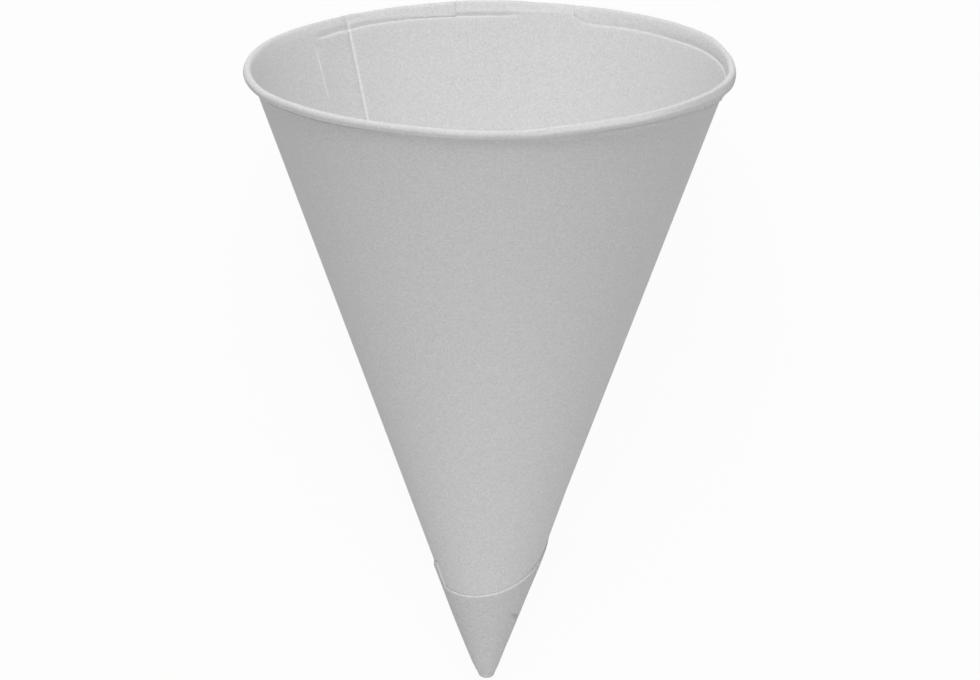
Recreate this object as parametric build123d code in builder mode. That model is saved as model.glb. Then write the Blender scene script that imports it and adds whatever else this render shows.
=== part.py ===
from build123d import *

import os
from math import acos, asin, atan2, cos, degrees, hypot, radians, sin, tan

# Cone paper cup with a rolled rim, in millimetres.
# One sheet of paper is wound a little over one turn into a cone, glued where it overlaps,
# curled outwards at the mouth and crushed to a closed point.
# The cup lies on its side, as it comes to rest: mouth to +Y, point to -Y, overlap underneath.
# Angles about the axis run from +X (0) to the side on the floor (90), seen from inside the mouth.

# Driving dimensions
rim_d = 73.0  # across the rolled rim
cup_h = 96.8  # from the point to the top of the rim, along the axis
paper_t = 0.3  # one ply of the sheet
roll_r = 0.95  # outer radius of the rolled rim's section
roll_turn = 320.0  # how far the sheet curls round in the roll
tip_r = 1.75  # rounding of the point, over the outermost ply
plug_h = 4.5  # height of the crushed, closed point
inner_edge = 126.0  # angle of the straight inner edge of the sheet
flap_angle = -10.0  # angle where the straight outer edge of the sheet comes nearest to the axis
flap_reach = 7.8  # distance of that edge from the axis, seen along the axis
wrap_angle = 240.0  # angle where the wrapped ply reaches least far up from the point
wrap_low = 18.2  # its edge there, measured along the wall from where the wall would end in an apex
wrap_high = 30.4  # the same on the opposite side
rest_flat = 0.1  # how far the soft roll is pressed in where the cup lies on it

# Half-angle of the wall: its outer face runs to the middle of the roll and lies one ply inside the point
ring_r = rim_d / 2 - roll_r
ring_h = cup_h - roll_r - tip_r
wall_angle = atan2(ring_r, ring_h) - asin((tip_r - paper_t) / hypot(ring_r, ring_h))
ply = paper_t / cos(wall_angle)

# Each half turn of the sheet has its own axis, so that one full turn gains one ply
shift = ply / 4

# Lie of the cup: the pressed roll and the point touch the floor
rest_r = ring_r - shift * (1 + cos(radians(inner_edge - 90)))
rest_d = hypot(rest_r, ring_h)
lie = atan2(rest_r, ring_h) + asin((roll_r - rest_flat - tip_r) / rest_d)
reach = ring_h * cos(lie) + rest_r * sin(lie)

# The cup's own directions, and the middle of the rounded point
mouthward = Vector(0, cos(lie), sin(lie))
floorward = Vector(0, sin(lie), -cos(lie))
point = Vector(shift, (tip_r - roll_r - reach) / 2, tip_r)


def ray(angle):
    """Direction square to the axis at an angle in degrees."""
    return Vector(1, 0, 0) * cos(radians(angle)) + floorward * sin(radians(angle))


def centre(offset):
    """Point on a winding axis, shifted from the cup's axis towards the inner edge."""
    return point + ray(inner_edge) * offset


def section(angle, offset):
    """Plane through a winding axis, with x outwards and y towards the mouth."""
    outward = ray(angle)
    return Plane(centre(offset), x_dir=outward, z_dir=outward.cross(mouthward))


def winding(offset):
    """Axis that the sheet is wound about."""
    return Axis(centre(offset), mouthward * -1)


def wall(height, grow):
    """Point on the outer face of the wall at a height, grown outwards by a radius."""
    return ((tip_r - paper_t) / cos(wall_angle) + height * tan(wall_angle) + grow, height)


def at_roll(outward, up, grow):
    """Point by the middle of the roll, in directions square to and along the wall."""
    radius, height = wall(ring_h, grow)
    return (
        radius + outward * cos(wall_angle) + up * sin(wall_angle),
        height - outward * sin(wall_angle) + up * cos(wall_angle),
    )


def on_roll(radius, turn, grow):
    """Point round the roll's section, at a turn in degrees from the direction square to the wall."""
    return at_roll(radius * cos(radians(turn)), radius * sin(radians(turn)), grow)


def rimmed_sheet(angle, offset):
    """Section of the sheet from the point to the free edge of its roll, on a plane of its winding axis."""
    bore_r = roll_r - paper_t
    start = 270.0
    end = start - roll_turn
    crease = 180.0 + degrees(acos(paper_t / roll_r))
    with BuildSketch(section(angle, offset)) as profile:
        with BuildLine():
            foot = Line(wall(0, offset - ply), wall(0, offset))
            face = Line(foot @ 1, on_roll(bore_r, start, offset))
            bore_top = on_roll(bore_r, (start + end) / 2, offset)
            bore = ThreePointArc(face @ 1, bore_top, on_roll(bore_r, end, offset))
            free_edge = Line(bore @ 1, on_roll(roll_r, end, offset))
            roll_top = on_roll(roll_r, (crease + end) / 2, offset)
            back = ThreePointArc(free_edge @ 1, roll_top, on_roll(roll_r, crease, offset))
            Line(back @ 1, foot @ 0)
        make_face()
    return profile.sketch


# Outer ply of the overlap: it starts over the inner edge, ends inside the roll and has a straight outer edge
flap_plane = Plane(point + ray(flap_angle) * flap_reach, x_dir=mouthward, z_dir=ray(flap_angle))
with BuildPart() as overlap:
    with BuildSketch(section(inner_edge, -shift)):
        with BuildLine():
            Polyline(
                wall(0, -shift),
                at_roll(0, paper_t - roll_r, -shift),
                at_roll(paper_t, paper_t - roll_r, -shift),
                wall(0, ply - shift),
                close=True,
            )
        make_face()
    revolve(axis=winding(-shift), revolution_arc=inner_edge - flap_angle)
    split(bisect_by=flap_plane, keep=Keep.BOTTOM)

# Point of the cup: crushed plies inside, and outside one more ply wrapped round up to a slanted cut
apex = point - mouthward * ((tip_r - paper_t) / sin(wall_angle))
low = apex + (ray(wrap_angle) * sin(wall_angle) + mouthward * cos(wall_angle)) * wrap_low
high = apex + (ray(wrap_angle + 180) * sin(wall_angle) + mouthward * cos(wall_angle)) * wrap_high
cut_line = high - low
wrap_plane = Plane(low, x_dir=cut_line, z_dir=cut_line.cross(ray(wrap_angle - 90)))
wrap_top = (wrap_low + wrap_high) * cos(wall_angle)
plug_top = plug_h - tip_r
with BuildPart() as tip:
    with BuildSketch(section(inner_edge, 0)):
        with BuildLine():
            nose = CenterArc((0, 0), tip_r, -90, 90 - degrees(wall_angle))
            Polyline(
                nose @ 1,
                wall(wrap_top, ply),
                wall(wrap_top, -shift),
                wall(plug_top, -shift),
                (0, 0),
                nose @ 0,
            )
        make_face()
    revolve(axis=winding(0))
    split(bisect_by=wrap_plane, keep=Keep.BOTTOM)

# The wound sheet: two half turns about axes set a little apart, so that its end passes over its start
with BuildPart() as cone_cup:
    revolve(rimmed_sheet(inner_edge, -shift), axis=winding(-shift), revolution_arc=180)
    revolve(rimmed_sheet(inner_edge + 180, shift), axis=winding(shift), revolution_arc=180)
    split(bisect_by=Plane.XY, keep=Keep.TOP)
    add(overlap.part)
    add(tip.part)

os.makedirs("parts", exist_ok=True)
cone_cup.part.label = "cone_cup"
export_step(cone_cup.part, "parts/cone_cup.step")
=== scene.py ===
import logging
from dataclasses import dataclass, field
from enum import Enum
from functools import cached_property
from math import cos, hypot, pi, radians, sin, tan

import bpy
import numpy as np
from mathutils import Matrix, Vector


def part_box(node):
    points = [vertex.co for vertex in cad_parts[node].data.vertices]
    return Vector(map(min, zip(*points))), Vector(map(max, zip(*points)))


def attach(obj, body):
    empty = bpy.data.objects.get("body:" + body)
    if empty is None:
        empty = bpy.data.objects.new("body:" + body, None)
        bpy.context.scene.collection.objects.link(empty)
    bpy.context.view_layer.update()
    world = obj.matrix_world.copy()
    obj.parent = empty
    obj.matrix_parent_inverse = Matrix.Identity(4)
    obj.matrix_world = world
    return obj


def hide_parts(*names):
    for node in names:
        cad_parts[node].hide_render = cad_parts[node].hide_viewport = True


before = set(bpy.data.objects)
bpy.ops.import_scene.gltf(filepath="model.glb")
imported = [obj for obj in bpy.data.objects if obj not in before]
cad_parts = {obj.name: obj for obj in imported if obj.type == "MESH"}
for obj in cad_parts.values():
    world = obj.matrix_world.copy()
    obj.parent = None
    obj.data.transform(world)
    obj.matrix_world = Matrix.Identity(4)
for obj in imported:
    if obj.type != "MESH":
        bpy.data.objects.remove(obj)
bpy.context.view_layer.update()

log = logging.getLogger("cone_cup")

# The cup's own sizes are in millimetres, along its axis (up to the mouth) and square to it.
# Angles about the axis run from +X (0) to the side on the floor (90), seen from inside the mouth,
# so that the photographed front is at 270.
MM = 0.001
FLOOR_SIDE = 90.0

# Painted shade where the sheet lies double, which darkens the paper's tone there for the light that comes
# through a single ply and not through two
DOUBLED_PAINTED_SHADE = -0.36

# Radius of the bead round the rim, as pairs of angle and radius, up to where it is pressed flat
ROUND_BEAD = (
    (0, 0.62), (12, 0.55), (26, 0.50), (60, 0.48), (128, 0.48), (180, 0.54), (203, 0.52),
    (222, 0.50), (233, 0.46), (244, 0.43), (254, 0.44), (277, 0.44),
)

# White of the surround, as red, green, blue and alpha
WHITE = (1.0, 1.0, 1.0, 1.0)


def eased(share: np.ndarray | float) -> np.ndarray:
    """Smooth step from 0 to 1, flat at both ends."""
    held = np.clip(share, 0.0, 1.0)
    return held * held * (3.0 - 2.0 * held)


def hump(value: np.ndarray, width: float) -> np.ndarray:
    """Smooth bump of height 1 about 0, gone at about twice its width."""
    return np.exp(-((value / width) ** 2))


def turned(angle: np.ndarray | float, middle: float) -> np.ndarray:
    """Signed angle from a middle, from -180 to 180 degrees."""
    return np.mod(np.asarray(angle) - middle + 180.0, 360.0) - 180.0


def leaning(lean: float) -> np.ndarray:
    """Direction up and out from the axis, as radius and height, at a lean in degrees."""
    return np.array([sin(radians(lean)), cos(radians(lean))])


def arc(radius: float, first: float, last: float, count: int) -> np.ndarray:
    """Places round a middle, at turns from the top in radians, without the last one."""
    turns = np.linspace(first, last, count, endpoint=False)
    return radius * np.stack([np.sin(turns), np.cos(turns)], axis=-1)


def curve(
    start: np.ndarray, leave: np.ndarray, arrive: np.ndarray, end: np.ndarray, count: int
) -> np.ndarray:
    """Smooth curve from a start towards an end, as a cubic with two handles.

    Args:
        start: where it starts.
        leave: handle that it leaves towards.
        arrive: handle that it arrives from.
        end: where it ends, which isn't among the places.
        count: number of places.

    Returns:
        Rows of radius and height.
    """
    step = np.linspace(0.0, 1.0, count, endpoint=False)[:, None]
    kept = 1.0 - step
    return start * kept**3 + 3.0 * leave * step * kept**2 + 3.0 * arrive * step**2 * kept + end * step**3


class Face(Enum):
    """Where a face of the paper lies, as its material index."""

    SIDE = 0
    # Cut edges, paler, and strips with a painted highlight along the hem's free edge and the wrapped
    # ply's edge
    CUT_AND_PAINTED_HIGHLIGHT = 1


@dataclass(frozen=True)
class Around:
    """A size that changes round the rim, given at a few angles and eased between them.

    Args:
        knots: pairs of angle and value, in rising order of angle from 0 to 360.
    """

    knots: tuple[tuple[float, float], ...]

    def at(self, angle: float) -> float:
        """Value at an angle.

        Args:
            angle: the angle in degrees.

        Returns:
            The eased value there.
        """
        places = np.array([place for place, _ in self.knots])
        values = np.array([value for _, value in self.knots])
        places = np.concatenate(([places[-1] - 360.0], places, [places[0] + 360.0]))
        values = np.concatenate(([values[-1]], values, [values[0]]))
        wrapped = np.mod(angle, 360.0)
        after = np.clip(np.searchsorted(places, wrapped, side="right"), 1, len(places) - 1)
        share = (wrapped - places[after - 1]) / (places[after] - places[after - 1])
        return float(values[after - 1] + (values[after] - values[after - 1]) * eased(share))


@dataclass(frozen=True)
class Lie:
    """How the cup lies on its side: its own directions and the middle of its mouth.

    Args:
        tilt: slope of the axis above the floor, in degrees.
        tip_r: rounding of the point.
        tip_to_mouth: from the middle of the rounded point to the middle of the mouth.
    """

    tilt: float = 20.106
    tip_r: float = 1.75
    tip_to_mouth: float = 94.1

    @property
    def mouthward(self) -> Vector:
        """Direction of the axis, out of the mouth."""
        return Vector((0.0, cos(radians(self.tilt)), sin(radians(self.tilt))))

    @property
    def floorward(self) -> Vector:
        """Direction square to the axis, to the side that lies on the floor."""
        return Vector((0.0, sin(radians(self.tilt)), -cos(radians(self.tilt))))

    @property
    def mouth(self) -> Vector:
        """Middle of the mouth at the rim's level, from the frame's box.

        Returns:
            The place in metres.
        """
        lowest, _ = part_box("cone_cup")
        tip = Vector((0.0, lowest.y + self.tip_r * MM, self.tip_r * MM))
        return tip + self.mouthward * self.tip_to_mouth * MM

    def place(self, across: np.ndarray, down: np.ndarray, along: np.ndarray) -> np.ndarray:
        """Points of the scene for places in the cup's own frame.

        Args:
            across: along +X.
            down: square to the axis, to the floor.
            along: along the axis from the rim's level, up to the mouth.

        Returns:
            One row of x, y and z in metres for each place.
        """
        ways = np.array([(1.0, 0.0, 0.0), self.floorward, self.mouthward])
        places = np.stack([across, down, along], axis=-1) * MM
        return np.array(self.mouth) + places @ ways


@dataclass(frozen=True)
class Wall:
    """The straight wall of the cone, by its outer face.

    Args:
        half_angle: between the wall and the axis, in degrees.
        mouth_r: radius at the rim's level.
        paper: thickness of one ply.
        ply_gap: room between two plies.
        tip_r: rounding of the point, by the middle of the innermost ply.
    """

    half_angle: float = 19.74
    mouth_r: float = 35.47
    paper: float = 0.28
    ply_gap: float = 0.02
    tip_r: float = 1.15

    @property
    def upward(self) -> np.ndarray:
        """Direction up the wall, as radius and height."""
        return leaning(self.half_angle)

    @property
    def outward(self) -> np.ndarray:
        """Direction square to the wall, out of the cup, as radius and height."""
        return np.array([cos(radians(self.half_angle)), -sin(radians(self.half_angle))])

    @property
    def apex_depth(self) -> float:
        """From the rim's level down to where the outer face would end in an apex."""
        return self.mouth_r / tan(radians(self.half_angle))

    @property
    def ply(self) -> float:
        """Step from one ply to the next."""
        return self.paper + self.ply_gap

    def outer(self, height: float) -> np.ndarray:
        """Place on the outer face at a height from the rim's level."""
        return np.array([self.mouth_r + height * tan(radians(self.half_angle)), height])

    def middle(self, height: float) -> np.ndarray:
        """Place on the middle of the paper, square to the outer face at a height."""
        return self.outer(height) - self.outward * self.paper / 2.0

    def slant(self, height: float) -> float:
        """Length along the wall from the apex to a height from the rim's level."""
        return (self.apex_depth + height) / cos(radians(self.half_angle))


@dataclass(frozen=True)
class Rim:
    """The rolled rim: a ledge inside, a bead on top, and a hem that lies back on the wall outside.

    Heights are from the rim's level, and depths below it. The sizes that change round the rim
    follow the curl of the paper, which is tight in some places and pressed flat in others.

    Args:
        start: depth where the rim's own section begins.
        crease: depth of the crease inside, under the bead.
        ledge: length of the small ledge above the crease.
        ledge_lean: lean of that ledge from the axis, in degrees, the wall's own where there is none.
        neck: length of the neck above the ledge.
        neck_lean: lean of that neck from the axis, in degrees.
        flange_lean: lean of the paper above the neck, where it starts to bend out to the bead.
        bead_r: radius of the bead's top, by the middle of the paper.
        bead_out: middle of the bead, out from the wall.
        bead_top: top of the bead above the rim's level, by the middle of the paper.
        flare: how far the paper turns from the top of the bead to its outer side, in degrees.
        skirt: length of the straight outer side of the bead.
        under_r: radius of the bead below that side.
        turn: how far the paper turns in all from the top of the bead, in degrees.
        land: depth where the hem comes to lie on the wall.
        hem: depth of the hem's free edge.
        lift: how much further the lip along the free edge stands off the wall.
        stand: how far the hem stands off the wall.
        feather: how far the free edge is pressed thin.
        crumple: how far the hem is crumpled in and out.
        groove: shift of the bead out from the wall, at the end of the overlap and at a nick in the roll.
        press: how far plies are pressed together in the bead.
        lap_bead: growth of the bead where the sheet overlaps itself.
        waves: size, rate and start of each wave of the crumples, the last two in degrees.
        swell: share of a half wave that the crumples take from under the bead to the free edge.
        pull: handles of the curves to the bead and to the hem, as a share of their span.
        top_pull: the same for the handle at the bead's top.
        rows: rows on the wall, the ledge, the neck, the flange, the bead, its side, under it,
            to the hem and on it.
    """

    start: float = 3.4
    crease: Around = Around(
        (
            (0, 1.60), (26, 1.53), (40, 1.72), (52, 1.68), (63, 1.85), (66, 1.75), (69, 1.00),
            (82.5, 0.95), (85.5, 1.16), (98.8, 1.16), (99.1, 1.28), (122, 1.32), (128, 1.50),
            (132, 1.42), (136, 1.62), (138, 1.60), (145, 1.20), (270, 1.20),
        )
    )
    ledge: float = 0.36
    ledge_lean: Around = Around(
        (
            (0, 42), (26, 52), (45, 50), (63, 54), (66, 46), (68.5, 20), (82.5, 20), (85.5, 58),
            (98.8, 60), (99.1, 53), (106, 53), (122, 57), (134, 57), (138.5, 48), (140, 20), (270, 20),
        )
    )
    neck: Around = Around(
        (
            (0, 0.45), (26, 0.75), (40, 0.95), (52, 0.70), (63, 0.55), (67, 0.50), (68.9, 0.45),
            (69.2, 0.25), (82.5, 0.25), (85.5, 0.72), (98.8, 0.72), (99.1, 0.30), (106, 0.32),
            (112, 0.50), (122, 0.75), (129, 0.80), (130, 0.98), (137.5, 0.98), (141, 0.25),
            (270, 0.20),
        )
    )
    neck_lean: Around = Around(
        (
            (0, 6), (26, 6), (40, 9), (52, 13), (63, 14), (67, 12), (68.9, 10), (69.2, 19), (82.5, 19),
            (85.5, 0), (98.8, 0), (99.1, -14), (106, -10), (112, 4), (122, 9), (137.5, 10), (141, 20),
            (270, 20),
        )
    )
    flange_lean: Around = Around(
        (
            (0, 14), (26, 16), (40, 17), (52, 20), (63, 22), (68.9, 24), (69.2, 38), (82, 46),
            (98.8, 46), (99.1, 32), (112, 34), (128, 38), (136, 34), (141, 26), (270, 20),
        )
    )
    bead_r: Around = Around(
        (*ROUND_BEAD, (287, 0.36), (297, 0.30), (308, 0.30), (321, 0.36), (337, 0.36), (350, 0.50))
    )
    bead_out: Around = Around(
        (
            (0, 0.06), (12, 0.18), (26, 0.42), (40, 0.45), (52, 0.50), (63, 0.62), (68.9, 0.68),
            (69.2, 0.80), (78, 0.85), (98.8, 0.88), (99.1, 0.72), (128, 0.66), (140, 0.58),
            (180, 0.48), (215, 0.38), (250, 0.32), (263, 0.26), (277, 0.26), (290, 0.32), (308, 0.34),
            (324, 0.28), (337, 0.16),
        )
    )
    bead_top: Around = Around(
        (
            (0, 0.08), (12, 0.40), (26, 0.80), (38, 0.77), (52, 0.72), (63, 0.71), (68.6, 0.70),
            (69.05, 0.50), (69.5, 0.70), (78, 0.80), (83, 1.00), (88, 1.09), (98.7, 1.08),
            (98.95, 0.80), (99.2, 0.90), (102, 0.77), (111, 0.60), (122, 0.46), (127, 0.62),
            (137, 0.61), (148, 0.68), (160, 0.82), (170, 0.80), (180, 0.72), (203, 0.67), (212, 0.82),
            (220, 0.94), (254, 0.97), (263, 0.82), (277, 0.82), (287, 1.09), (297, 1.12), (308, 1.00),
            (321, 0.97), (329, 0.87), (337, 0.67), (350, 0.48),
        )
    )
    flare: Around = Around(
        (
            (0, 85), (26, 90), (250, 90), (275, 85), (287, 52), (297, 45), (308, 50), (321, 66),
            (329, 70), (337, 71), (350, 76),
        )
    )
    skirt: Around = Around(
        (
            (0, 0.04), (60, 0.04), (274, 0.04), (287, 0.45), (297, 0.60), (321, 0.60), (329, 0.72),
            (337, 0.82), (350, 0.65),
        )
    )
    under_r: Around = Around((*ROUND_BEAD, (287, 0.34), (297, 0.30), (337, 0.30), (350, 0.46)))
    turn: Around = Around(
        (
            (0, 135), (30, 160), (165, 160), (182, 148), (200, 152), (215, 168), (248, 165),
            (270, 160), (293, 165), (328, 165), (342, 135),
        )
    )
    land: Around = Around(
        (
            (0, 1.75), (30, 0.90), (90, 0.55), (165, 0.50), (185, 0.75), (200, 0.60), (222, 0.30),
            (244, 0.20), (254, 0.22), (277, 0.25), (287, 0.18), (297, 0.15), (308, 0.30), (321, 0.50),
            (329, 0.75), (337, 1.45), (350, 1.90),
        )
    )
    hem: Around = Around(
        (
            (0, 2.10), (30, 1.40), (90, 1.00), (165, 0.90), (185, 1.10), (200, 0.95), (222, 0.60),
            (244, 0.44), (254, 0.45), (277, 0.50), (287, 0.45), (297, 0.42), (308, 0.85), (321, 1.35),
            (329, 1.80), (337, 2.20), (350, 2.35),
        )
    )
    lift: Around = Around(
        (
            (0, 0.08), (90, 0.06), (198, 0.08), (206, 0.12), (240, 0.12), (252, 0.05), (284, 0.05),
            (292, 0.08), (305, 0.14), (340, 0.14),
        )
    )
    stand: Around = Around(((0, 0.0), (198, 0.0), (206, 0.06), (244, 0.06), (254, 0.0), (270, 0.0)))
    feather: float = 0.1
    crumple: Around = Around(((0, 0.02), (60, 0.0), (295, 0.0), (306, 0.09), (320, 0.14), (338, 0.15)))
    groove: Around = Around(
        (
            (0, 0.0), (68.8, 0.0), (69.05, 0.18), (69.3, 0.0), (98.7, 0.0), (98.95, 0.24), (99.2, 0.0),
            (270, 0.0),
        )
    )
    press: float = 0.6
    lap_bead: float = 0.16
    waves: tuple[tuple[float, float, float], ...] = ((1.0, 96.0, 0.0), (0.7, 151.0, 40.0))
    swell: float = 0.75
    pull: float = 0.42
    top_pull: float = 0.25
    rows: tuple[int, ...] = (4, 6, 8, 11, 8, 4, 8, 9, 5)

    @property
    def neck_top(self) -> int:
        """Number of rows up to the top of the neck."""
        return sum(self.rows[:3])

    @property
    def slack(self) -> int:
        """Number of rows from under the bead to the free edge."""
        return sum(self.rows[-2:])

    def section(self, wall: Wall, angle: float, lapped: float) -> np.ndarray:
        """Middle of the paper from the wall over the bead to the free edge, before plies are set apart.

        Args:
            wall: the wall that the rim grows from.
            angle: place round the rim, in degrees.
            lapped: share of the overlap here, 1 where the sheet lies double.

        Returns:
            Rows of radius and height.
        """
        on_wall, on_ledge, on_neck, on_flange, on_bead, on_skirt, on_under, to_hem, on_hem = self.rows
        grown = self.lap_bead * lapped
        bead_r = self.bead_r.at(angle) + grown
        under_r = self.under_r.at(angle) + grown
        top = np.array([wall.mouth_r + self.bead_out.at(angle), self.bead_top.at(angle) + grown])
        foot = wall.middle(-self.start)
        crease = wall.middle(-self.crease.at(angle))
        ledge = crease + self.ledge * leaning(self.ledge_lean.at(angle))
        neck = ledge + self.neck.at(angle) * leaning(self.neck_lean.at(angle))
        reach = hypot(*(top - neck))
        flange_from = neck + self.pull * reach * leaning(self.flange_lean.at(angle))
        flange_to = top - np.array([self.top_pull * reach, 0.0])
        flare = radians(self.flare.at(angle))
        last = radians(self.turn.at(angle))
        bead_end = min(flare, last)
        bead_mid = top - np.array([0.0, bead_r])
        skirt_from = bead_mid + bead_r * leaning(float(np.degrees(bead_end)))
        skirt_to = skirt_from + self.skirt.at(angle) * np.array([cos(flare), -sin(flare)])
        under_mid = skirt_to - under_r * leaning(float(np.degrees(flare)))
        under_to = under_mid + under_r * leaning(float(np.degrees(last)))
        clear = wall.paper / 2.0 + wall.ply_gap + 2.0 * wall.ply * self.press * lapped
        clear += self.stand.at(angle)
        land = wall.outer(-self.land.at(angle)) + wall.outward * clear
        free = wall.outer(-self.hem.at(angle)) + wall.outward * clear
        lip = np.linspace(0.0, 1.0, on_hem)[:, None] ** 3 * self.lift.at(angle) * wall.outward
        pull = self.pull * hypot(*(land - under_to))
        leave = under_to + pull * np.array([cos(last), -sin(last)])
        line = np.vstack(
            [
                np.linspace(foot, crease, on_wall, endpoint=False),
                np.linspace(crease, ledge, on_ledge, endpoint=False),
                np.linspace(ledge, neck, on_neck, endpoint=False),
                curve(neck, flange_from, flange_to, top, on_flange),
                bead_mid + arc(bead_r, 0.0, bead_end, on_bead),
                np.linspace(skirt_from, skirt_to, on_skirt, endpoint=False),
                under_mid + arc(under_r, flare, last, on_under),
                curve(under_to, leave, land + pull * wall.upward, land, to_hem),
                np.linspace(land, free, on_hem) + lip,
            ]
        )
        line[on_wall + on_ledge :] += self.groove.at(angle) * wall.outward
        # The joints between the stretches are rounded a little
        line[1:-1] = (line[:-2] + 2.0 * line[1:-1] + line[2:]) / 4.0
        return line + self.crumpling(angle)[:, None] * wall.outward

    def crumpling(self, angle: float) -> np.ndarray:
        """How far the paper is pushed out where the hem is crumpled.

        Args:
            angle: place round the rim, in degrees.

        Returns:
            The push at each row of the section.
        """
        push = np.zeros(sum(self.rows))
        waves = sum(size * sin(radians(rate * angle + start)) for size, rate, start in self.waves)
        share = np.linspace(0.0, 1.0, self.slack)
        push[-self.slack :] = self.crumple.at(angle) * waves * np.sin(share * pi * self.swell)
        return push

    def pressing(self) -> np.ndarray:
        """How far plies stand apart.

        Returns:
            The share of a full step at each row of the section, from 1 on the wall to less in the bead.
        """
        spread = np.full(sum(self.rows), self.press)
        spread[: self.rows[0]] = np.linspace(1.0, self.press, self.rows[0])
        return spread

    def thinning(self) -> np.ndarray:
        """Thickness of the paper, pressed thin along the free edge.

        Returns:
            The share of a full ply at each row of the section.
        """
        share = np.ones(sum(self.rows))
        pressed = self.slack - self.rows[-2] // 2
        share[-pressed:] = 1.0 - self.feather * eased(np.linspace(0.0, 1.0, pressed))
        return share


@dataclass(frozen=True)
class CutEdge:
    """The straight outer edge of the sheet, round the back and across the front near the point.

    Args:
        nearest: least distance of the edge from the apex, along the wall.
        front: angle where it comes nearest on the front.
        slip: how many degrees the edge has slipped round by the time it reaches the rim.
        slip_from: angle where it starts to slip.
        slip_over: degrees over which it slips.
        steepest: largest angle of the unrolled sheet that is followed, in radians.
        corner: angle where the edge ends in a corner, on the front.
        shoulder: distance of the wrapped ply's edge from the apex beyond that corner.
        shoulder_fall: how much less far that edge reaches further round.
        fall_over: degrees over which it falls.
        end: angle where the wrapped ply ends, at the back.
        worn: share of the paper that is worn off at the edge.
        worn_strip: width of the worn strip along it.
        worn_from: winding angle where the wear sets in.
        worn_over: degrees over which it sets in.
        worn_waves: rates round the cup of the waves that make it uneven.
        worn_uneven: share of the wear that those waves take or give.
    """

    nearest: float = 19.5
    front: float = 238.0
    slip: float = 12.7
    slip_from: float = 335.0
    slip_over: float = 90.0
    steepest: float = 1.45
    corner: float = 206.0
    shoulder: float = 24.2
    shoulder_fall: float = 1.2
    fall_over: float = 24.0
    end: float = 136.0
    worn: float = 0.4
    worn_strip: float = 0.25
    worn_from: float = 392.0
    worn_over: float = 12.0
    worn_waves: tuple[float, float] = (47.0, 13.0)
    worn_uneven: float = 0.25

    def reach(self, wall: Wall, angle: np.ndarray | float) -> np.ndarray:
        """Distance of the edge from the apex, along the wall.

        Args:
            wall: the wall that the sheet is wound into.
            angle: angles from the end of the wrapped ply up to one turn beyond the rim's step.

        Returns:
            The distance at each angle.
        """
        turned_by = np.asarray(angle, float)
        nearest_at = self.front - self.slip * eased((turned_by - self.slip_from) / self.slip_over)
        unrolled = np.radians(turned_by - nearest_at) * sin(radians(wall.half_angle))
        straight = self.nearest / np.cos(np.clip(unrolled, -self.steepest, self.steepest))
        beyond = self.shoulder - self.shoulder_fall * eased((self.corner - turned_by) / self.fall_over)
        return np.where(turned_by < self.corner, beyond, straight)

    def wear(self, winding: np.ndarray, below: np.ndarray) -> np.ndarray:
        """Share of the paper's thickness that is worn off its outer face along the edge.

        Args:
            winding: winding angle of each column.
            below: how far each row of each column lies below the edge.

        Returns:
            The share that is missing at each row of each column.
        """
        outer_ply = eased((winding - self.worn_from) / self.worn_over)[:, None]
        fast, slow = (np.sin(np.radians(rate * winding)) for rate in self.worn_waves)
        uneven = 1.0 - self.worn_uneven + self.worn_uneven * fast * slow
        near_edge = np.clip(1.0 - below / self.worn_strip, 0.0, 1.0)
        return self.worn * near_edge * outer_ply * uneven[:, None]


@dataclass(frozen=True)
class Mark:
    """A small crease or dent in the paper.

    Args:
        angle: middle of the mark about the axis, in degrees.
        distance: middle of the mark from the apex, along the wall.
        wide: half its width about the axis, in degrees.
        long: half its length along the wall.
        skew: how far it climbs along the wall for each degree.
        out: how far the paper stands out there, or in where it is negative.
        outer: whether it is in the wrapped outer ply, not in the sheet's first turn.
        fade: degrees over which a fold dies away on its lower side, 0 for a mark that is even on both.
        pale: width of the broken fibres along a sharp fold, in degrees.
    """

    angle: float
    distance: float
    wide: float
    long: float
    skew: float
    out: float
    outer: bool
    fade: float = 0.0
    pale: float = 0.0

    def push(self, angle: np.ndarray, distance: np.ndarray, outer: np.ndarray) -> np.ndarray:
        """How far the mark pushes the paper out.

        Args:
            angle: angle of each place about the axis, in degrees.
            distance: distance of each place from the apex.
            outer: whether each place is in the outer ply.

        Returns:
            The push at each place.
        """
        aside = turned(angle, self.angle)
        along = distance - self.distance - self.skew * aside
        across = hump(aside, self.wide)
        if self.fade > 0.0:
            across = eased(0.5 - aside / self.wide) * (1.0 - eased(-aside / self.fade))
        return self.out * across * hump(along, self.long) * (outer == self.outer)


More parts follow.
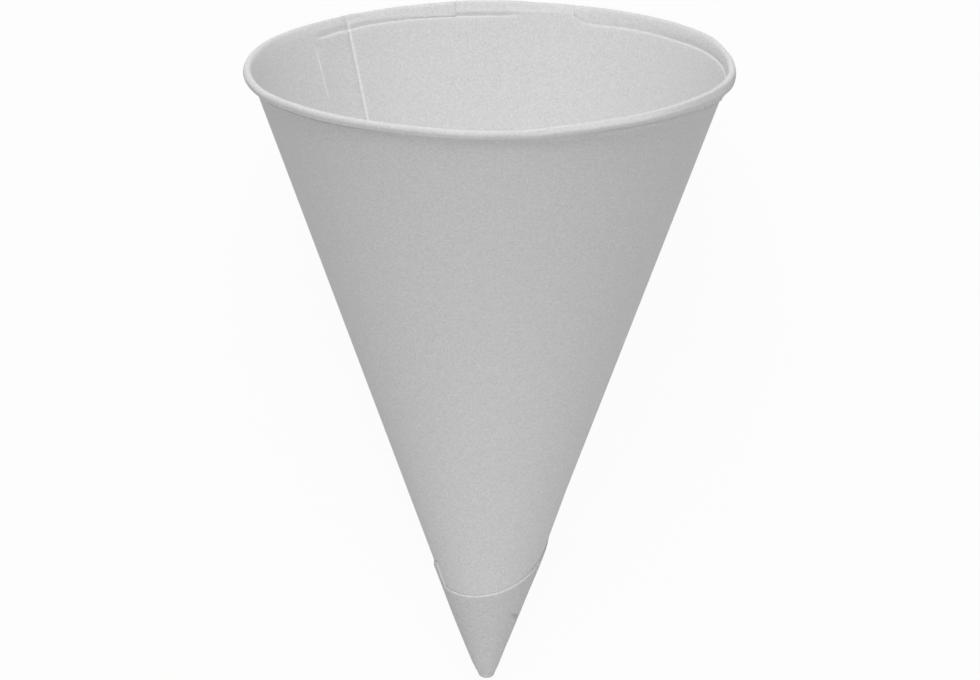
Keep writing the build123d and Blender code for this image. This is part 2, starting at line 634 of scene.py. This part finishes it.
@dataclass(frozen=True)
class Bends:
    """How the soft cup as a whole is bent out of true.

    Args:
        tip_lean: how far the point leans to +X, and to the left where it is negative.
        tip_bend: how far the very end of the point is bent back to +X.
        bent_to: share of the cup's height where that bend ends.
        bend_from: share of the cup's height where the bends of the rim set in.
        bend_over: share of the cup's height over which they set in.
        oval: how far the mouth is out of round.
        pressed: how far the rim is pressed in where it lies on the floor.
        pressed_wide: half the width of that, in degrees.
        front: angle of the rim's front.
        front_wide: half the width of its bulge, in degrees.
        front_out: how far the front of the rim bulges out.
        front_down: how far the front of the rim sags.
    """

    tip_lean: float = -0.84
    tip_bend: float = 0.22
    bent_to: float = 0.08
    bend_from: float = 0.55
    bend_over: float = 0.45
    oval: float = 0.40
    pressed: float = 1.03
    pressed_wide: float = 16.0
    front: float = 276.0
    front_wide: float = 26.0
    front_out: float = 0.4
    front_down: float = 0.2

    def shaped(
        self, share: np.ndarray, radius: np.ndarray, height: np.ndarray, angle: np.ndarray
    ) -> tuple[np.ndarray, np.ndarray, np.ndarray]:
        """Places in the cup's own frame, with its bends.

        Args:
            share: height of each place above the apex, as a share of the cup's.
            radius: distance from the axis.
            height: height from the rim's level.
            angle: angle about the axis, in degrees.

        Returns:
            The places along +X, down to the floor, and along the axis.
        """
        rim_share = eased((share - self.bend_from) / self.bend_over)
        front = hump(turned(angle, self.front), self.front_wide)
        under = hump(turned(angle, FLOOR_SIDE), self.pressed_wide)
        bent = share * self.oval * np.sin(np.radians(2.0 * angle))
        bent = bent + rim_share * self.front_out * front
        bent = bent - rim_share * self.pressed * under
        out = radius + bent
        lean = self.tip_lean * (1.0 - share) + self.tip_bend * (1.0 - eased(share / self.bent_to))
        across = out * np.cos(np.radians(angle)) + lean
        down = out * np.sin(np.radians(angle))
        along = height - rim_share * self.front_down * front
        return across, down, along


def fibre_group() -> bpy.types.NodeTree:
    """Shader group for paper: fine grain, pulp, painted shade where the sheet lies double, and the
    grain's height.

    Returns:
        The node group, with Shade and Height outputs.
    """
    group = bpy.data.node_groups.new("paper_fibre", "ShaderNodeTree")
    for name, default in (("Grain Scale", 8000.0), ("Pulp Scale", 3000.0)):
        socket = group.interface.new_socket(name, in_out="INPUT", socket_type="NodeSocketFloat")
        socket.default_value = default
    for name in ("Shade", "Height"):
        group.interface.new_socket(name, in_out="OUTPUT", socket_type="NodeSocketFloat")
    nodes = group.nodes
    links = group.links
    given = nodes.new("NodeGroupInput")
    result = nodes.new("NodeGroupOutput")
    place = nodes.new("ShaderNodeTexCoord")
    grain = nodes.new("ShaderNodeTexNoise")
    grain.inputs["Detail"].default_value = 2.0
    pulp = nodes.new("ShaderNodeTexNoise")
    pulp.inputs["Detail"].default_value = 3.0
    pulp.inputs["Distortion"].default_value = 0.6
    for noise, name in ((grain, "Grain Scale"), (pulp, "Pulp Scale")):
        links.new(place.outputs["Object"], noise.inputs["Vector"])
        links.new(given.outputs[name], noise.inputs["Scale"])
    both = nodes.new("ShaderNodeMath")
    both.operation = "ADD"
    links.new(grain.outputs["Fac"], both.inputs[0])
    links.new(pulp.outputs["Fac"], both.inputs[1])
    shade = nodes.new("ShaderNodeMapRange")
    for name, value in (("From Min", 0.6), ("From Max", 1.4), ("To Min", 0.2), ("To Max", 1.15)):
        shade.inputs[name].default_value = value
    links.new(both.outputs["Value"], shade.inputs["Value"])
    # Painted shade: the tone is darkened where the sheet lies double, for the light that comes through a
    # single ply and not through two
    painted_shade_layers = nodes.new("ShaderNodeAttribute")
    painted_shade_layers.attribute_name = "painted_double_shade"
    painted_shade_node = nodes.new("ShaderNodeMath")
    painted_shade_node.operation = "MULTIPLY_ADD"
    painted_shade_node.inputs[1].default_value = DOUBLED_PAINTED_SHADE
    links.new(painted_shade_layers.outputs["Fac"], painted_shade_node.inputs[0])
    links.new(shade.outputs["Result"], painted_shade_node.inputs[2])
    links.new(painted_shade_node.outputs["Value"], result.inputs["Shade"])
    links.new(grain.outputs["Fac"], result.inputs["Height"])
    return group


@dataclass(frozen=True)
class PaperFinish:
    """Uncoated white paper.

    Args:
        group: the shared fibre group.
        dark: colour of the pulp's darker flecks.
        pale: colour of its paler flecks.
        roughness: roughness of the surface.
        specular: strength of its sheen.
        relief: strength of the fibre relief.
        depth: height of that relief, in metres.
    """

    group: bpy.types.NodeTree
    dark: tuple[float, float, float]
    pale: tuple[float, float, float]
    roughness: float = 0.85
    specular: float = 0.2
    relief: float = 0.25
    depth: float = 0.00004

    def material(self, name: str) -> bpy.types.Material:
        """Builds the material.

        Args:
            name: name of the material.

        Returns:
            The material.
        """
        material = bpy.data.materials.new(name)
        material.use_nodes = True
        nodes = material.node_tree.nodes
        links = material.node_tree.links
        shader = nodes["Principled BSDF"]
        shader.inputs["Roughness"].default_value = self.roughness
        shader.inputs["Specular IOR Level"].default_value = self.specular
        fibre = nodes.new("ShaderNodeGroup")
        fibre.node_tree = self.group
        colour = nodes.new("ShaderNodeMix")
        colour.data_type = "RGBA"
        colour.inputs["A"].default_value = (*self.dark, 1.0)
        colour.inputs["B"].default_value = (*self.pale, 1.0)
        links.new(fibre.outputs["Shade"], colour.inputs["Factor"])
        links.new(colour.outputs["Result"], shader.inputs["Base Color"])
        bump = nodes.new("ShaderNodeBump")
        bump.inputs["Strength"].default_value = self.relief
        bump.inputs["Distance"].default_value = self.depth
        links.new(fibre.outputs["Height"], bump.inputs["Height"])
        links.new(bump.outputs["Normal"], shader.inputs["Normal"])
        return material


@dataclass
class PaperCup:
    """The cup: one sheet of paper, wound, rolled at the rim and wrapped round the point.

    Args:
        lie: how the cup lies.
        wall: its straight wall.
        rim: its rolled rim.
        edge: the sheet's straight outer edge.
        bends: how it is bent as a whole.
        marks: small creases and dents in the paper.
        inner_edge: angle of the sheet's straight inner edge.
        bevel: degrees over which the paper thins to that edge.
        bevel_to: share of its thickness that is left there.
        bevel_steps: columns over that bevel.
        laid_over: degrees over which the inner edge is pressed thin on the bead.
        laid_thin: share of its thickness that is left there.
        laid_rows: rows above the neck over which that sets in.
        climb: degrees over which the sheet climbs onto its own start.
        lap_fade: degrees over which the bead steps down past the outer edge.
        painted_shade_from: winding angle where the painted shade of the sheet lying double sets in.
        painted_shade_over: degrees over which that sets in.
        columns: steps round one full turn.
        lap_columns: steps from there to where the outer edge leaves the rim.
        close_ups: spans of angle with closer columns, each with its step.
        cap_rows: rows over the rounded point.
        wall_rows: rows up the wall by the point, below its marks, across them and above them.
        marked: shares of the wall's height where those stretches meet.
        last_rows: shares of the wall's height at its last rows, close together under the edge.
        fold_rows: rows that a sharp fold runs on above the wall.
        edge_step: widest step between two columns along the outer edge, in degrees.
        edge_fall: largest fall of the outer edge between two columns.
        tip_flat: height of the rounded point, as a share of a half ball's.
        squeeze: how far the plies are pressed in at the point.
        squeezed: distances from the apex between which that dies away.
        tip_pinch: how much further they are pinched in at its very end.
        pinched: distances from the apex between which that dies away.
        sharp: angle between two faces above which their edge is sharp, in degrees.
    """

    lie: Lie = field(default_factory=Lie)
    wall: Wall = field(default_factory=Wall)
    rim: Rim = field(default_factory=Rim)
    edge: CutEdge = field(default_factory=CutEdge)
    bends: Bends = field(default_factory=Bends)
    marks: tuple[Mark, ...] = (
        Mark(
            angle=141.3,
            distance=99.0,
            wide=0.5,
            long=4.0,
            skew=0.0,
            out=-0.15,
            outer=False,
            fade=7.0,
            pale=0.15,
        ),
        Mark(angle=329.0, distance=15.0, wide=16.0, long=0.34, skew=-0.03, out=-0.34, outer=True),
        Mark(angle=329.0, distance=14.3, wide=16.0, long=0.34, skew=-0.03, out=0.10, outer=True),
        Mark(angle=244.0, distance=18.6, wide=5.0, long=0.3, skew=-0.19, out=0.05, outer=True),
        Mark(angle=353.0, distance=23.5, wide=25.0, long=4.5, skew=0.0, out=0.17, outer=True),
        Mark(angle=353.0, distance=23.5, wide=25.0, long=4.5, skew=0.0, out=0.24, outer=False),
        Mark(angle=270.0, distance=4.75, wide=70.0, long=0.2, skew=0.0, out=0.06, outer=True),
        Mark(angle=270.0, distance=4.30, wide=70.0, long=0.2, skew=0.0, out=-0.08, outer=True),
    )
    inner_edge: float = 128.7
    bevel: float = 0.4
    bevel_to: float = 0.35
    bevel_steps: int = 3
    laid_over: float = 8.0
    laid_thin: float = 0.5
    laid_rows: float = 5.0
    climb: float = 18.0
    lap_fade: float = 0.3
    painted_shade_from: float = 358.0
    painted_shade_over: float = 3.0
    columns: int = 270
    lap_columns: int = 30
    close_ups: tuple[tuple[float, float, float], ...] = (
        (140.4, 142.4, 0.2),
        (98.1, 99.9, 0.1),
        (68.3, 69.9, 0.1),
        (304.0, 346.0, 0.7),
    )
    cap_rows: int = 6
    wall_rows: tuple[int, ...] = (10, 4, 9, 5)
    marked: tuple[float, ...] = (0.12, 0.53, 0.66)
    last_rows: tuple[float, ...] = (0.93, 0.962, 0.988, 1.0)
    fold_rows: int = 3
    edge_step: float = 2.0
    edge_fall: float = 0.8
    tip_flat: float = 0.62
    squeeze: float = 0.24
    squeezed: tuple[float, float] = (3.0, 16.0)
    tip_pinch: float = 0.15
    pinched: tuple[float, float] = (3.2, 6.2)
    sharp: float = 60.0

    def edge_angle(self, winding: np.ndarray | float) -> np.ndarray:
        """Angle on the second turn, counted on from the first, as the outer edge uses it."""
        return self.inner_edge + 720.0 - np.asarray(winding)

    def plies(self, winding: np.ndarray) -> np.ndarray:
        """How many plies lie under the sheet, with its climb onto its own start.

        Args:
            winding: winding angles of the sheet.

        Returns:
            The number of plies at each angle.
        """
        turns = np.floor(winding / 360.0)
        rest = winding - 360.0 * turns
        return turns + eased((rest - 360.0 + self.climb) / self.climb)

    def lapped(self, angle: float) -> float:
        """Share of the overlap at the rim.

        Args:
            angle: place round the rim, in degrees.

        Returns:
            The share, 1 between the sheet's two edges.
        """
        past_inner = float(turned(angle, self.inner_edge))
        past_outer = float(turned(angle, self.rim_step))
        if past_inner > 0.0:
            return float(1.0 - eased(past_inner / self.climb))
        return float(eased(past_outer / self.lap_fade + 1.0))

    def bevelled(self, winding: np.ndarray | float) -> np.ndarray:
        """Share of the paper's thickness that is left at a winding angle near the inner edge."""
        return self.bevel_to + (1.0 - self.bevel_to) * np.clip(np.asarray(winding) / self.bevel, 0.0, 1.0)

    @property
    def rim_top(self) -> float:
        """Distance along the wall from the apex to where the rim's section begins."""
        return self.wall.slant(-self.rim.start)

    @cached_property
    def rim_step(self) -> float:
        """Angle where the sheet's outer edge reaches the rim.

        Returns:
            The angle, found to a tenth of a degree.
        """
        first, last, count = 400.0, 480.0, 801
        tries = np.linspace(first, last, count)
        reaches = self.edge.reach(self.wall, tries)
        return float(tries[np.argmax(reaches > self.rim_top)]) - 360.0

    def windings(self) -> tuple[np.ndarray, int]:
        """Winding angles of the sheet's columns, from its inner edge on.

        Returns:
            The angles, and how many of the columns reach over the rim.
        """
        room = 0.1
        turn = np.linspace(0.0, 360.0, self.columns + 1)
        for low, high, step in self.close_ups:
            first = float(np.mod(self.inner_edge - high, 360.0))
            span = high - low
            turn = turn[(turn < first - room) | (turn > first + span + room)]
            turn = np.concatenate([turn, np.linspace(first, first + span, round(span / step) + 1)])
        turn = np.sort(np.concatenate([np.linspace(0.0, self.bevel, self.bevel_steps + 1)[1:], turn]))
        lap_end = 360.0 + self.inner_edge - self.rim_step
        lap = np.linspace(360.0, lap_end, self.lap_columns + 1)[1:]
        last = self.inner_edge + 720.0 - self.edge.end
        corner = self.inner_edge + 720.0 - self.edge.corner
        corner_half = 0.2
        corner_room = 0.5
        beyond = [corner - corner_half, corner + corner_half]
        at = lap_end
        ahead = 0.1
        least_fall = 0.01
        while at < last - self.edge_step:
            reach = self.edge.reach(self.wall, self.edge_angle(np.array([at, at + ahead])))
            fall = abs(float(reach[1] - reach[0])) / ahead
            at += min(self.edge_step, self.edge_fall / max(fall, least_fall))
            if abs(at - corner) > corner_room:
                beyond.append(at)
        beyond.append(last)
        return np.concatenate([turn, lap, np.sort(beyond)]), len(turn) + len(lap)

    def row_shares(self) -> np.ndarray:
        """Rows up the wall, closer together across the marks and at the edge.

        Returns:
            The share of each column's height at each row.
        """
        ends = (0.0, *self.marked, self.last_rows[0])
        stretches = zip(ends[:-1], ends[1:], self.wall_rows)
        shares = [np.linspace(low, high, count, endpoint=False) for low, high, count in stretches]
        return np.concatenate([*shares, self.last_rows])

    def wall_rows_at(self, tops: np.ndarray) -> tuple[np.ndarray, np.ndarray, np.ndarray]:
        """Middle of the innermost ply from the point up the wall.

        Args:
            tops: distance along the wall from the apex to the top of each column.

        Returns:
            For each row of each column: its radius and height, its outward direction, and its
            distance from the apex.
        """
        wall = self.wall
        half = radians(wall.half_angle)
        ball = wall.tip_r + wall.paper / 2.0
        ball_at = (ball / cos(half) - wall.mouth_r) / tan(half)
        eye = 0.02
        swing = np.linspace(eye, pi / 2.0 - half, self.cap_rows, endpoint=False)
        cap_out = np.stack([np.sin(swing), -np.cos(swing)], axis=-1)
        cap = np.array([0.0, ball_at]) + wall.tip_r * cap_out
        brink = ball_at - wall.tip_r * sin(half)
        cap[:, 1] = brink + self.tip_flat * (cap[:, 1] - brink)
        first = wall.slant(ball_at - ball * sin(half))
        slants = first + (tops[:, None] - first) * self.row_shares()
        apex = np.array([0.0, -wall.apex_depth])
        straight = apex + slants[..., None] * wall.upward - wall.outward * wall.paper / 2.0
        count = len(tops)
        middle = np.concatenate([np.broadcast_to(cap, (count, *cap.shape)), straight], axis=1)
        wall_out = np.broadcast_to(wall.outward, straight.shape)
        outward = np.concatenate([np.broadcast_to(cap_out, (count, *cap_out.shape)), wall_out], axis=1)
        cap_share = 0.9
        cap_slants = first * (swing / swing[-1]) * cap_share
        distance = np.concatenate([np.broadcast_to(cap_slants, (count, len(swing))), slants], axis=1)
        return middle, outward, distance

    def standing_off(self, winding: np.ndarray, distance: np.ndarray) -> np.ndarray:
        """How far the paper stands off the ply under it, or is pressed in, along the wall.

        Args:
            winding: winding angle of each column.
            distance: distance from the apex of each row of each column.

        Returns:
            The distance out from the wall.
        """
        angle = (self.inner_edge - winding)[:, None]
        outer = (winding > 360.0)[:, None]
        off = sum(mark.push(angle, distance, outer) for mark in self.marks)
        for size, (low, high) in ((self.squeeze, self.squeezed), (self.tip_pinch, self.pinched)):
            off = off - size * (1.0 - eased((distance - low) / (high - low)))
        return off

    def painted_double_shade(self, winding: np.ndarray) -> np.ndarray:
        """Share of painted shade where the sheet lies double on itself, from 0 to 1: darker where less
        light comes through.
        """
        return eased((winding - self.painted_shade_from) / self.painted_shade_over)

    def place(self, radius: np.ndarray, height: np.ndarray, angle: np.ndarray) -> np.ndarray:
        """Points of the scene, with the cup's own bends and dents.

        Args:
            radius: distance from the axis.
            height: height from the rim's level.
            angle: angle about the axis, in degrees.

        Returns:
            One row of x, y and z in metres for each place.
        """
        share = np.clip((height + self.wall.apex_depth) / self.wall.apex_depth, 0.0, None)
        return self.lie.place(*self.bends.shaped(share, radius, height, angle))

    def build(self) -> bpy.types.Object:
        """Builds the sheet as one closed mesh.

        Returns:
            The cup's mesh object.
        """
        winding, full = self.windings()
        angle = self.inner_edge - winding
        reach = self.edge.reach(self.wall, self.edge_angle(winding))
        tops = np.where(np.arange(len(winding)) < full, self.rim_top, np.minimum(reach, self.rim_top))
        plies = self.plies(winding)
        middle, outward, distance = self.wall_rows_at(tops)
        off = plies[:, None] * self.wall.ply + self.standing_off(winding, distance)
        half = self.wall.paper / 2.0
        left = self.bevelled(winding)[:, None]
        worn = self.wall.paper * self.edge.wear(winding, tops[:, None] - distance)
        inner = middle + outward * (off + half - 2.0 * half * left)[..., None]
        outer = middle + outward * (off + half - worn)[..., None]
        rim_sides = self.rim_rows(winding[:full], plies[:full])
        grids = []
        for side, rim_side in zip((inner, outer), rim_sides):
            wall_points = self.place(side[..., 0], side[..., 1], angle[:, None])
            rim_points = self.place(rim_side[..., 0], rim_side[..., 1], angle[:full, None])
            grids.append((wall_points, rim_points))
        double = self.painted_double_shade(winding)
        wall_painted_shade = np.repeat(double, distance.shape[1])
        rim_painted_shade = np.repeat(double[:full], rim_sides[0].shape[1])
        return self.mesh(grids, np.concatenate([wall_painted_shade, rim_painted_shade]), self.paled(winding, distance))

    def rim_rows(self, winding: np.ndarray, plies: np.ndarray) -> list[np.ndarray]:
        """Both sides of the paper over the rim.

        Args:
            winding: winding angle of each column that reaches over the rim.
            plies: plies under the sheet at each column.

        Returns:
            Radius and height of the inner and of the outer side, row by row, without the row
            shared with the wall.
        """
        inner, outer = [], []
        spread = self.rim.pressing()
        thinned = self.rim.thinning()
        fade = 1.0 - eased((np.arange(len(spread)) - self.rim.neck_top) / self.laid_rows)
        for at, under in zip(winding, plies):
            angle = float(self.inner_edge - at)
            line = self.rim.section(self.wall, angle, self.lapped(angle))
            along = np.gradient(line, axis=0)
            along /= np.linalg.norm(along, axis=1)[:, None]
            out = np.stack([along[:, 1], -along[:, 0]], axis=-1)
            line = line + out * (under * self.wall.ply * spread)[:, None]
            back = line + out * self.wall.paper / 2.0
            laid = self.laid_thin + (1.0 - self.laid_thin) * float(eased(at / self.laid_over))
            share = fade * float(self.bevelled(at)) + (1.0 - fade) * laid
            thick = self.wall.paper * thinned * share
            front = back - out * thick[:, None]
            inner.append(front[1:])
            outer.append(back[1:])
        return [np.array(inner), np.array(outer)]

    def paled(self, winding: np.ndarray, distance: np.ndarray) -> np.ndarray:
        """Faces of the inner side where a sharp fold has broken up the fibres.

        Args:
            winding: winding angle of each column.
            distance: distance from the apex of each row of each column.

        Returns:
            A mask of the faces between the columns and rows.
        """
        angle = (self.inner_edge - (winding[:-1] + winding[1:]) / 2.0)[:, None]
        along = (distance[:-1, :-1] + distance[1:, 1:]) / 2.0
        innermost = (winding[1:] <= 360.0)[:, None]
        found = np.zeros(along.shape, bool)
        for mark in self.marks:
            on_fold = np.abs(turned(angle, mark.angle)) < mark.pale / 2.0
            found |= on_fold & innermost & (np.abs(along - mark.distance) < mark.long)
        return found

    def mesh(
        self, grids: list[tuple[np.ndarray, np.ndarray]], double: np.ndarray, paled: np.ndarray
    ) -> bpy.types.Object:
        """Joins the two sides of the sheet and closes its edges.

        Args:
            grids: for the inner and the outer side, the points on the wall and over the rim.
            double: share of painted shade where the sheet lies double, for the points of one side.
            paled: faces on the wall's inner side that show broken fibres.

        Returns:
            The mesh object.
        """
        points = []
        numbers = []
        count = 0
        for wall_points, rim_points in grids:
            columns, rows = wall_points.shape[:2]
            full, rim_count = rim_points.shape[:2]
            number = np.full((columns, rows + rim_count), -1)
            number[:, :rows] = count + np.arange(columns * rows).reshape(columns, rows)
            count += columns * rows
            number[:full, rows:] = count + np.arange(full * rim_count).reshape(full, rim_count)
            count += full * rim_count
            points += [wall_points.reshape(-1, 3), rim_points.reshape(-1, 3)]
            numbers.append(number)
        inner, outer = numbers
        sides = []
        kinds = []
        for number, forward in ((inner, True), (outer, False)):
            for block, on_wall in ((number[:, :rows], True), (number[:full, rows - 1 :], False)):
                bevelled = rows if on_wall else self.rim.neck_top
                corners = [block[:-1, :-1], block[1:, :-1], block[1:, 1:], block[:-1, 1:]]
                ordered = corners if forward else corners[::-1]
                kind = np.full(corners[0].shape, Face.SIDE.value)
                if forward:
                    kind[: self.bevel_steps, :bevelled] = Face.CUT_AND_PAINTED_HIGHLIGHT.value
                    if on_wall:
                        kind[paled] = Face.CUT_AND_PAINTED_HIGHLIGHT.value
                    else:
                        # Painted highlight: the hem's last row along its free edge takes the paler
                        # finish, a light line for light on the edge, partly the cut edge's own paler
                        # fibres
                        kind[:, -1:] = Face.CUT_AND_PAINTED_HIGHLIGHT.value
                        kind[paled[: full - 1, -1], : self.fold_rows] = Face.CUT_AND_PAINTED_HIGHLIGHT.value
                elif on_wall:
                    # Painted highlight: the wrapped ply's last row under its edge takes the paler finish,
                    # widening the lit edge into a line, partly the worn edge's own paler fibres
                    kind[full:, -1:] = Face.CUT_AND_PAINTED_HIGHLIGHT.value
                sides.append(np.stack(ordered, axis=-1).reshape(-1, 4))
                kinds.append(kind.ravel())
        paths = [
            (inner[:full, -1], outer[:full, -1]),
            (inner[full - 1 :, rows - 1], outer[full - 1 :, rows - 1]),
            (inner[0], outer[0]),
            (inner[full - 1, rows - 1 :][::-1], outer[full - 1, rows - 1 :][::-1]),
            (inner[-1, :rows][::-1], outer[-1, :rows][::-1]),
            (inner[::-1, 0], outer[::-1, 0]),
        ]
        cuts = [np.stack([near[:-1], near[1:], far[1:], far[:-1]], axis=-1) for near, far in paths]
        faces = np.vstack(sides + cuts)
        kinds.append(np.full(sum(len(cut) for cut in cuts), Face.CUT_AND_PAINTED_HIGHLIGHT.value))
        data = bpy.data.meshes.new("cone_cup_paper")
        data.from_pydata(np.vstack(points).tolist(), [], faces.tolist())
        data.polygons.foreach_set("material_index", np.concatenate(kinds))
        data.polygons.foreach_set("use_smooth", np.ones(len(faces), bool))
        # Painted shade: share of darkening where the sheet lies double, read by the paper's shader
        painted_shade_layers = data.attributes.new("painted_double_shade", "FLOAT", "POINT")
        painted_shade_layers.data.foreach_set("value", np.tile(double, 2))
        data.set_sharp_from_angle(angle=radians(self.sharp))
        data.validate()
        data.update()
        cup = bpy.data.objects.new("cone_cup_paper", data)
        bpy.context.scene.collection.objects.link(cup)
        return cup

    def dress(self, cup: bpy.types.Object, side: PaperFinish, cut: PaperFinish) -> None:
        """Gives the paper its finishes and stands it in for the plain solid.

        Args:
            cup: the cup's mesh object.
            side: finish of the paper's two sides.
            cut: finish of its cut edges, also used to paint highlight strips along the hem's free edge
                and the wrapped ply's edge.
        """
        cup.data.materials.append(side.material("paper_side"))
        cup.data.materials.append(cut.material("paper_cut_and_painted_highlight"))
        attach(cup, "root")
        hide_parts("cone_cup")


@dataclass(frozen=True)
class Lamp:
    """A square soft lamp that points at the cup.

    Args:
        name: its name.
        at: where it hangs, in metres.
        size: its side, in metres.
        power: its power, in watts.
        target: what it points at, in metres.
    """

    name: str
    at: tuple[float, float, float]
    size: float
    power: float
    target: tuple[float, float, float] = (0.0, 0.0, 0.03)

    def hang(self) -> bpy.types.Object:
        """Hangs the lamp.

        Returns:
            The lamp object.
        """
        light = bpy.data.lights.new(self.name, "AREA")
        light.shape = "SQUARE"
        light.size = self.size
        light.energy = self.power
        lamp = bpy.data.objects.new(self.name, light)
        aim = Vector(self.target) - Vector(self.at)
        turn = aim.to_track_quat("-Z", "Y").to_matrix().to_4x4()
        lamp.matrix_world = Matrix.Translation(self.at) @ turn
        lamp.visible_camera = False
        bpy.context.scene.collection.objects.link(lamp)
        return lamp


@dataclass(frozen=True)
class Studio:
    """White floor, soft light and the photograph's camera.

    Args:
        lie: how the cup lies.
        rise: how far the camera looks down into the mouth, in degrees.
        distance: from the camera to the middle of the mouth, along its view.
        drop: how far the middle of the mouth stands above the middle of the picture.
        aside: how far the camera stands to the right of it.
        focal_px: focal length in pixels of the photograph.
        picture_px: width of the photograph in pixels.
        sensor: sensor width in millimetres.
        floor_size: side of the floor, in metres.
        floor_grey: how pale the floor is, as a linear value.
        ambient: strength of the even light from all round.
        lamps: a large lamp over the mouth, and a weak one low by the point.
        shadow: share of the floor that takes shadow.
    """

    lie: Lie
    rise: float = 17.63
    distance: float = 986.5
    drop: float = 40.07
    aside: float = -0.14
    focal_px: float = 6668.0
    picture_px: float = 980.0
    sensor: float = 36.0
    floor_size: float = 6.0
    floor_grey: float = 0.75
    ambient: float = 0.258
    lamps: tuple[Lamp, ...] = (
        Lamp("mouth_lamp", at=(-0.08, 1.0, 1.2), size=0.8, power=15.9),
        Lamp("point_lamp", at=(0.02, -0.32, 0.16), size=0.25, power=0.39),
    )
    shadow: float = 0.05

    def camera(self) -> bpy.types.Object:
        """Sets up the camera at the photograph's place.

        Returns:
            The camera object.
        """
        rise = radians(self.rise)
        ahead = self.lie.floorward * cos(rise) - self.lie.mouthward * sin(rise)
        above = self.lie.floorward * sin(rise) + self.lie.mouthward * cos(rise)
        right = above.cross(-ahead)
        place = self.lie.mouth + (right * self.aside - above * self.drop - ahead * self.distance) * MM
        lens = bpy.data.cameras.new("camera")
        lens.sensor_width = self.sensor
        lens.lens = self.focal_px / self.picture_px * self.sensor
        camera = bpy.data.objects.new("camera", lens)
        turn = Matrix((right, above, -ahead)).transposed()
        camera.matrix_world = Matrix.Translation(place) @ turn.to_4x4()
        bpy.context.scene.collection.objects.link(camera)
        bpy.context.scene.camera = camera
        return camera

    def seen(self, nodes: bpy.types.Nodes, links: bpy.types.NodeLinks) -> bpy.types.NodeSocket:
        """Mask of the rays that show the background: from the camera, a gloss or a clear body.

        Args:
            nodes: nodes of the tree that uses it.
            links: links of that tree.

        Returns:
            The socket that holds the mask.
        """
        path = nodes.new("ShaderNodeLightPath")
        mask = path.outputs["Is Camera Ray"]
        for name in ("Is Glossy Ray", "Is Transmission Ray"):
            either = nodes.new("ShaderNodeMath")
            either.operation = "MAXIMUM"
            links.new(mask, either.inputs[0])
            links.new(path.outputs[name], either.inputs[1])
            mask = either.outputs["Value"]
        return mask

    def floor(self) -> bpy.types.Object:
        """Lays the white floor, which shows as white and keeps a soft shadow.

        Returns:
            The floor object.
        """
        half = self.floor_size / 2.0
        data = bpy.data.meshes.new("floor")
        corners = [(-half, -half, 0.0), (half, -half, 0.0), (half, half, 0.0), (-half, half, 0.0)]
        data.from_pydata(corners, [], [(0, 1, 2, 3)])
        floor = bpy.data.objects.new("floor", data)
        bpy.context.scene.collection.objects.link(floor)
        material = bpy.data.materials.new("floor_white")
        material.use_nodes = True
        nodes = material.node_tree.nodes
        links = material.node_tree.links
        nodes.clear()
        result = nodes.new("ShaderNodeOutputMaterial")
        matt = nodes.new("ShaderNodeBsdfDiffuse")
        matt.inputs["Color"].default_value = (self.floor_grey, self.floor_grey, self.floor_grey, 1.0)
        white = nodes.new("ShaderNodeEmission")
        white.inputs["Strength"].default_value = 1.0
        share = nodes.new("ShaderNodeMath")
        share.operation = "MULTIPLY"
        share.inputs[1].default_value = 1.0 - self.shadow
        links.new(self.seen(nodes, links), share.inputs[0])
        mix = nodes.new("ShaderNodeMixShader")
        links.new(share.outputs["Value"], mix.inputs["Fac"])
        links.new(matt.outputs["BSDF"], mix.inputs[1])
        links.new(white.outputs["Emission"], mix.inputs[2])
        links.new(mix.outputs["Shader"], result.inputs["Surface"])
        data.materials.append(material)
        return floor

    def surround(self) -> bpy.types.World:
        """Lights the scene evenly from all round, and shows as white.

        Returns:
            The world.
        """
        world = bpy.data.worlds.new("surround")
        world.use_nodes = True
        nodes = world.node_tree.nodes
        links = world.node_tree.links
        surround = nodes["Background"]
        surround.inputs["Color"].default_value = WHITE
        surround.inputs["Strength"].default_value = self.ambient
        white = nodes.new("ShaderNodeBackground")
        white.inputs["Color"].default_value = WHITE
        white.inputs["Strength"].default_value = 1.0
        mix = nodes.new("ShaderNodeMixShader")
        links.new(self.seen(nodes, links), mix.inputs["Fac"])
        links.new(surround.outputs["Background"], mix.inputs[1])
        links.new(white.outputs["Background"], mix.inputs[2])
        links.new(mix.outputs["Shader"], nodes["World Output"].inputs["Surface"])
        bpy.context.scene.world = world
        return world


def main() -> None:
    """Builds the cup and the studio in order and reports each piece."""
    logging.basicConfig(level=logging.INFO, format="%(message)s")
    bpy.context.scene.view_settings.view_transform = "Standard"
    cup = PaperCup()
    group = fibre_group()
    side = PaperFinish(group, dark=(0.60, 0.60, 0.60), pale=(0.86, 0.86, 0.86))
    # Paler finish of the cut edges, which also paints highlight strips along the hem's free edge and the
    # wrapped ply's edge
    cut = PaperFinish(group, dark=(0.74, 0.74, 0.74), pale=(0.95, 0.95, 0.95))
    sheet = cup.build()
    cup.dress(sheet, side, cut)
    log.info("%s: %d faces", sheet.name, len(sheet.data.polygons))
    studio = Studio(cup.lie)
    things = [studio.camera(), studio.floor(), studio.surround()]
    things += [lamp.hang() for lamp in studio.lamps]
    for thing in things:
        log.info("%s is in place", thing.name)


if __name__ == "__main__":
    main()
